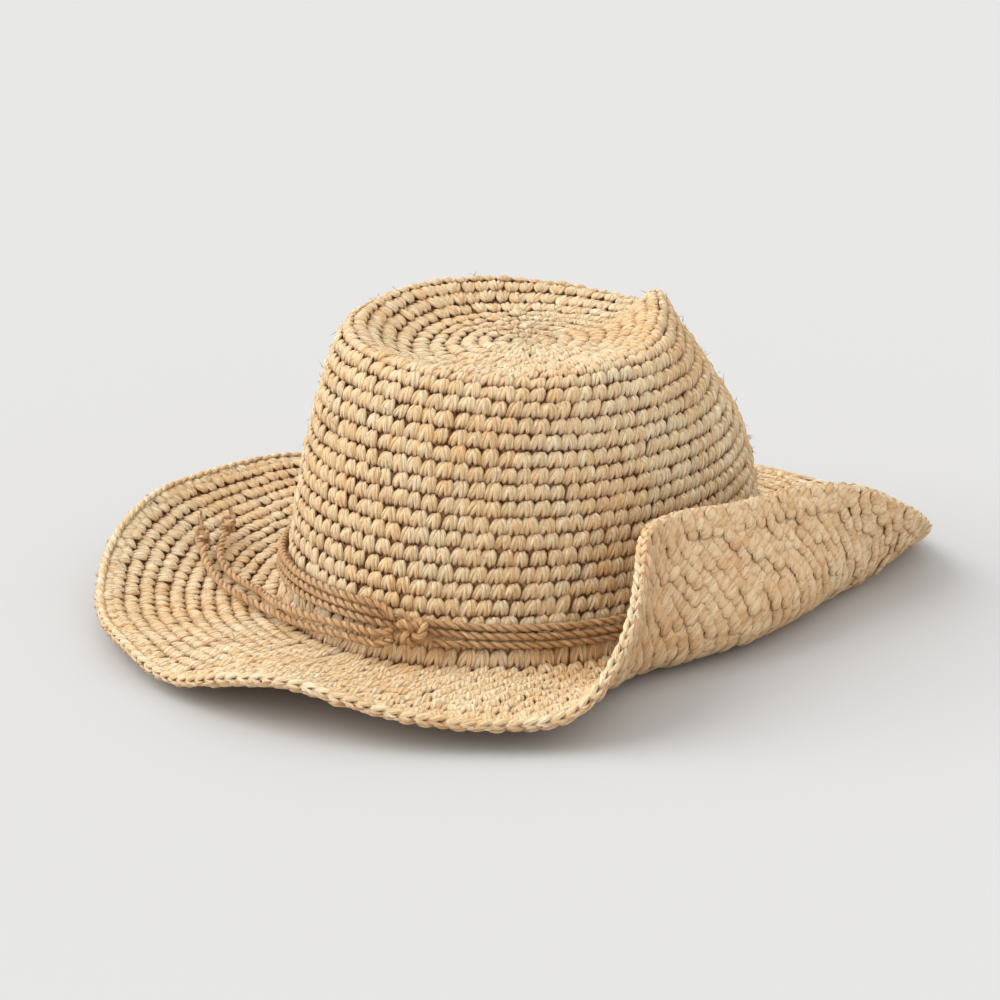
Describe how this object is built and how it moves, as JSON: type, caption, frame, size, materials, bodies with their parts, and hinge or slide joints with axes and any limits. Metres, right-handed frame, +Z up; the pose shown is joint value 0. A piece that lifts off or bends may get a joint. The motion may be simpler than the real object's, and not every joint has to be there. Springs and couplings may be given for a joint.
{
  "type": "cowboy hat",
  "caption": "Crocheted raffia cowboy hat: creased crown, brim rolled up at the side, sweatband inside and a tied twisted-cord hatband with loose tails.",
  "frame": {"origin": "on the ground, under the middle of the hat's own box", "axes": "+Z up, -Y the way the wearer looks, +X the wearer's left"},
  "size_m": [0.286, 0.3542, 0.1226],
  "materials": {
    "raffia": "natural crocheted raffia, dry satin",
    "raffia_cord": "twisted raffia cord, dry satin",
    "cotton": "woven cotton tape, matt",
    "thread": "spun sewing thread",
    "steel": "drawn hat wire"
  },
  "bodies": {
    "hat": {"crown_tip": "raffia", "crown_side": "raffia", "brim": "raffia", "brim_edge_round": "raffia", "brim_edge_wire": "steel", "sweatband": "cotton", "sweatband_seam_thread": "thread"},
    "hatband": {"hatband_cord": "raffia_cord", "hatband_knot": "raffia_cord", "tail_long": "raffia_cord", "tail_long_knot": "raffia_cord", "tail_short": "raffia_cord", "tail_short_knot": "raffia_cord"}
  },
  "joints": [
    {"name": "hatband_lift", "type": "slide", "parent": "hat", "child": "hatband", "axis": [0, 0, 1], "range_m": [0, 0.12]}
  ]
}
